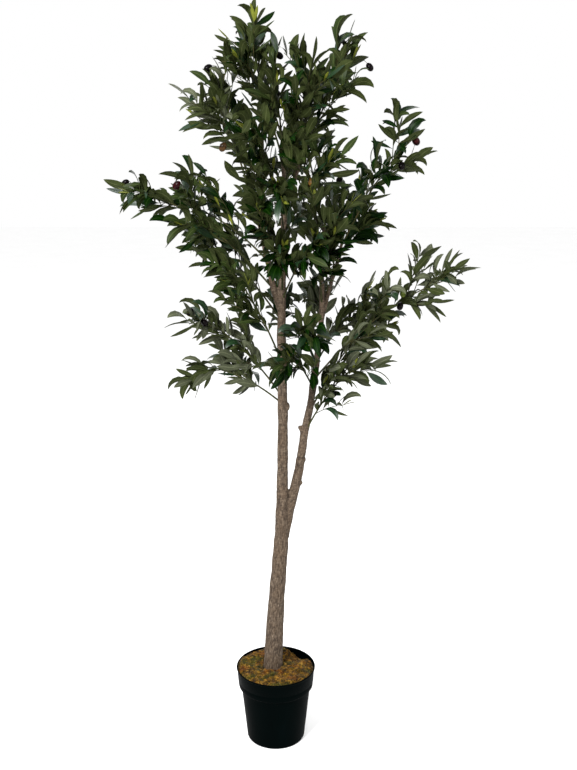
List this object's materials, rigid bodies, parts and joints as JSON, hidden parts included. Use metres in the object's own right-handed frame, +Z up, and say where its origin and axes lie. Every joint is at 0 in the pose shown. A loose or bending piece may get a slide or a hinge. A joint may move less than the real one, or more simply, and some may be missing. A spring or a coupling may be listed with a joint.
{
  "type": "artificial olive tree",
  "caption": "Artificial olive tree with a forked bark trunk, an open crown of narrow leaves and olives, moss, and a tapered black nursery pot that stands on the floor.",
  "frame": {"origin": "middle of the pot's flat underside, on the floor", "axes": "+Z up along the trunk; the picture's view looks along +Y, so +X is the right of the picture"},
  "size_m": [0.8469, 0.5569, 1.7971],
  "materials": {
    "pot": "thin moulded black nursery pot, satin",
    "fill": "cast cement, hidden below the moss",
    "moss": "golden brown dyed moss",
    "bark": "moulded brown bark with fine furrows",
    "foliage": "printed cloth leaves on coated wire twigs, dark green above and grey-green below"
  },
  "bodies": {
    "root": {"pot": "pot", "fill": "fill", "moss": "moss", "trunk": "bark", "bough_left": "bark", "bough_right": "bark", "bough_outer": "bark", "bough_centre": "bark", "foliage_between": "foliage", "foliage_between_low": "foliage", "foliage_crown_back": "foliage", "foliage_crown_front": "foliage", "foliage_far_right": "foliage", "foliage_far_top_right": "foliage", "foliage_heart_back": "foliage", "foliage_heart_front": "foliage", "foliage_heart_front_low": "foliage", "foliage_heart_low": "foliage", "foliage_heart_mid": "foliage", "foliage_heart_mid_left": "foliage", "foliage_heart_mid_right": "foliage", "foliage_left_arm": "foliage", "foliage_left_arm_high": "foliage", "foliage_left_arm_low": "foliage", "foliage_low_left_high": "foliage", "foliage_low_left_low": "foliage", "foliage_low_right": "foliage", "foliage_mid_left": "foliage", "foliage_mid_left_back": "foliage", "foliage_mid_right": "foliage", "foliage_mid_right_back": "foliage", "foliage_right_arm": "foliage", "foliage_right_arm_low": "foliage", "foliage_right_back": "foliage", "foliage_right_front": "foliage", "foliage_right_low": "foliage", "foliage_right_side": "foliage", "foliage_top": "foliage", "foliage_top_back": "foliage", "foliage_top_left": "foliage", "foliage_top_right": "foliage", "foliage_upper_left": "foliage", "foliage_upper_left_back": "foliage", "foliage_upper_left_front": "foliage", "foliage_upper_left_high": "foliage", "foliage_upper_right": "foliage", "foliage_upper_right_back": "foliage"}
  },
  "joints": []
}
